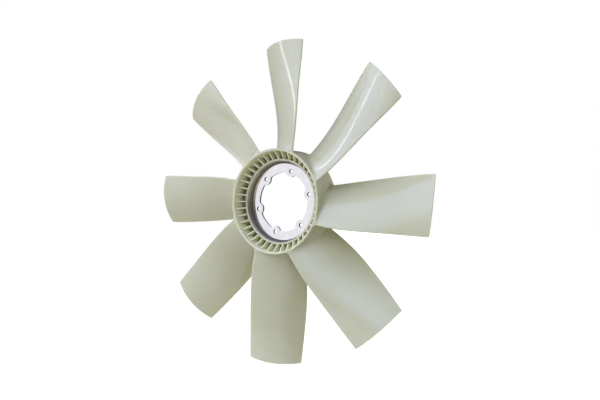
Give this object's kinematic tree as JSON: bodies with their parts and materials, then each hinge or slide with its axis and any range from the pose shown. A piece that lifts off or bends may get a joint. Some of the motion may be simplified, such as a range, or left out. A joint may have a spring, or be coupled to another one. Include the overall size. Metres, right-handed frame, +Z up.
{
  "type": "engine cooling fan",
  "caption": "Axial cooling fan for a truck engine: twisted, cambered blades moulded in one with a ribbed ring hub, round a metal ring that bolts to the fan drive.",
  "frame": {"origin": "centre of the bolt circle, on the front face of the metal plate", "axes": "spin axis along Y, front of the fan (the side that faces the radiator and is seen in the picture) towards -Y, +Z up, +X to the right seen from the front"},
  "size_m": [0.704, 0.0754, 0.704],
  "materials": {
    "nylon": "satin, as moulded, uncoloured",
    "ring_metal": "bare, fine-turned"
  },
  "bodies": {
    "root": {"fan_wheel": "nylon", "insert_ring": "ring_metal"}
  },
  "joints": []
}
